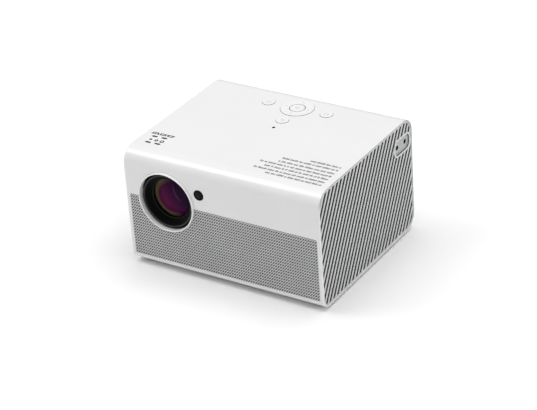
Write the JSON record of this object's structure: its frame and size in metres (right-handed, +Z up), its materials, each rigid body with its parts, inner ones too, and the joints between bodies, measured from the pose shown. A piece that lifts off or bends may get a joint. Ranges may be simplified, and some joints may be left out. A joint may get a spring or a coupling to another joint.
{
  "type": "projector with disc player",
  "caption": "Small tabletop lamp projector with a rounded white case, mesh front, slatted sides, top keys and a slide-out disc tray.",
  "frame": {"origin": "under the middle of the case, on the surface that it stands on", "axes": "+X to the viewer's right when facing the lens side, lens looking along -Y, +Z up"},
  "size_m": [0.21, 0.176, 0.1215],
  "materials": {
    "white_shell": "gloss white moulded plastic",
    "eject_white": "gloss white moulded plastic",
    "grey_slats": "satin light grey moulded plastic",
    "black_cloth": "thin black dust cloth",
    "grille_mesh": "pressed metal mesh, painted silver grey",
    "black_plastic": "matt black moulded plastic",
    "black_window": "gloss black infrared window",
    "sensor": "dark resin",
    "coated_glass": "coated optical glass",
    "clear_optic": "clear moulded optic",
    "display_glass": "display panel glass",
    "circuit_board": "green circuit board",
    "aluminium": "extruded aluminium",
    "plated_steel": "plated pressed steel",
    "brass": "turned brass",
    "rubber": "black rubber"
  },
  "bodies": {
    "housing": {"upper_shell": "white_shell", "base_cover": "white_shell", "left_side_panel": "grey_slats", "right_side_panel": "grey_slats", "dust_screens": "black_cloth", "front_grille": "grille_mesh", "grille_scrim": "black_cloth", "speaker_baffle": "black_plastic", "left_speaker": "black_plastic", "right_speaker": "black_plastic", "lens_bezel": "white_shell", "ir_window": "black_window", "ir_receiver": "sensor", "lens_mount": "black_plastic", "dial_collars": "black_plastic", "light_engine_case": "black_plastic", "fresnel_lenses": "clear_optic", "display_panel": "display_glass", "condenser_lens": "clear_optic", "led_board": "circuit_board", "heat_sink": "aluminium", "fan_frame": "black_plastic", "key_board": "circuit_board", "status_light": "clear_optic", "drive_case": "plated_steel", "main_board": "circuit_board", "board_standoffs": "plated_steel", "hdmi_socket": "plated_steel", "usb_socket": "plated_steel", "power_inlet": "black_plastic", "power_board": "circuit_board", "audio_jacks": "black_plastic", "jack_board": "circuit_board", "rubber_feet": "rubber", "tripod_insert": "brass", "base_screws": "plated_steel"},
    "carrier": {"lens_carrier": "black_plastic"},
    "lens": {"lens_barrel": "black_plastic", "front_glass": "coated_glass", "rear_glass": "coated_glass"},
    "focus": {"focus_dial": "black_plastic"},
    "keystone": {"keystone_dial": "black_plastic"},
    "rotor": {"fan_rotor": "black_plastic"},
    "power": {"power_key": "white_shell"},
    "source": {"source_key": "white_shell"},
    "back": {"back_key": "white_shell"},
    "ok": {"ok_key": "white_shell"},
    "cradle": {"ring_cradle": "black_plastic"},
    "ring": {"navigation_ring": "white_shell"},
    "rails": {"tray_rails": "plated_steel"},
    "tray": {"disc_tray": "black_plastic", "tray_front": "white_shell", "spindle_motor": "plated_steel", "guide_rods": "plated_steel"},
    "eject": {"eject_key": "eject_white"},
    "hub": {"spindle_hub": "plated_steel"},
    "sled": {"pickup_sled": "black_plastic"},
    "feed": {"lead_screw": "plated_steel"},
    "foot_pad": {"tilt_foot_pad": "rubber"},
    "foot_screw": {"tilt_foot_screw": "plated_steel"}
  },
  "joints": [
    {"name": "focus_dial_turn", "type": "hinge", "parent": "housing", "child": "focus", "pos_m": [-0.06, 0, 0.076], "axis": [0, 1, 0], "range_deg": [-60, 45]},
    {"name": "keystone_dial_turn", "type": "hinge", "parent": "housing", "child": "keystone", "pos_m": [-0.06, 0, 0.076], "axis": [0, 1, 0], "range_deg": [-25, 25]},
    {"name": "carrier_tilt", "type": "hinge", "parent": "housing", "child": "carrier", "pos_m": [-0.06, -0.068, 0.076], "axis": [1, 0, 0], "range_deg": [-3.1, 3.1]},
    {"name": "lens_slide", "type": "slide", "parent": "carrier", "child": "lens", "axis": [0, 1, 0], "range_m": [-0.0021, 0.0016]},
    {"name": "fan_spin", "type": "hinge", "parent": "housing", "child": "rotor", "pos_m": [-0.095, 0.058, 0.076], "axis": [1, 0, 0], "continuous": true},
    {"name": "power_key_press", "type": "slide", "parent": "housing", "child": "power", "axis": [0, 0, -1], "range_m": [0, 0.0006], "stiffness_N_per_m": 900, "springref_m": -0.0003},
    {"name": "source_key_press", "type": "slide", "parent": "housing", "child": "source", "axis": [0, 0, -1], "range_m": [0, 0.0006], "stiffness_N_per_m": 900, "springref_m": -0.0003},
    {"name": "back_key_press", "type": "slide", "parent": "housing", "child": "back", "axis": [0, 0, -1], "range_m": [0, 0.0006], "stiffness_N_per_m": 900, "springref_m": -0.0003},
    {"name": "ok_key_press", "type": "slide", "parent": "housing", "child": "ok", "axis": [0, 0, -1], "range_m": [0, 0.0006], "stiffness_N_per_m": 900, "springref_m": -0.0003},
    {"name": "cradle_tilt", "type": "hinge", "parent": "housing", "child": "cradle", "pos_m": [0, 0.055, 0.11435], "axis": [1, 0, 0], "range_deg": [-1.2, 1.2], "stiffness_Nm_per_rad": 2},
    {"name": "ring_tilt", "type": "hinge", "parent": "cradle", "child": "ring", "pos_m": [0, 0.055, 0.11595], "axis": [0, 1, 0], "range_deg": [-1.2, 1.2], "stiffness_Nm_per_rad": 2},
    {"name": "tray_slide", "type": "slide", "parent": "housing", "child": "tray", "axis": [0, 1, 0], "range_m": [0, 0.118]},
    {"name": "rail_slide", "type": "slide", "parent": "housing", "child": "rails", "axis": [0, 1, 0], "range_m": [0, 0.059]},
    {"name": "eject_key_press", "type": "slide", "parent": "tray", "child": "eject", "axis": [0, -1, 0], "range_m": [0, 0.0005], "stiffness_N_per_m": 900, "springref_m": -0.0003},
    {"name": "hub_spin", "type": "hinge", "parent": "tray", "child": "hub", "pos_m": [0.033, 0.021, 0.0225], "axis": [0, 0, 1], "continuous": true},
    {"name": "sled_slide", "type": "slide", "parent": "tray", "child": "sled", "axis": [0, -1, 0], "range_m": [0, 0.031]},
    {"name": "lead_screw_turn", "type": "hinge", "parent": "tray", "child": "feed", "pos_m": [0.06, -0.016, 0.0226], "axis": [0, 1, 0], "range_deg": [0, 3725]},
    {"name": "foot_turn", "type": "hinge", "parent": "foot_pad", "child": "foot_screw", "pos_m": [0, -0.066, 0.003], "axis": [0, 0, 1], "range_deg": [0, 1925]},
    {"name": "foot_lift", "type": "slide", "parent": "housing", "child": "foot_pad", "axis": [0, 0, -1], "range_m": [0, 0.008]}
  ],
  "couplings": [
    {"joint": "lens_slide", "follows": "focus_dial_turn", "m_per_rad": 0.0019},
    {"joint": "carrier_tilt", "follows": "keystone_dial_turn", "ratio": 0.12},
    {"joint": "rail_slide", "follows": "tray_slide", "ratio": 0.5},
    {"joint": "lead_screw_turn", "follows": "sled_slide", "rad_per_m": 2094.4},
    {"joint": "foot_turn", "follows": "foot_lift", "rad_per_m": 4188.8}
  ]
}
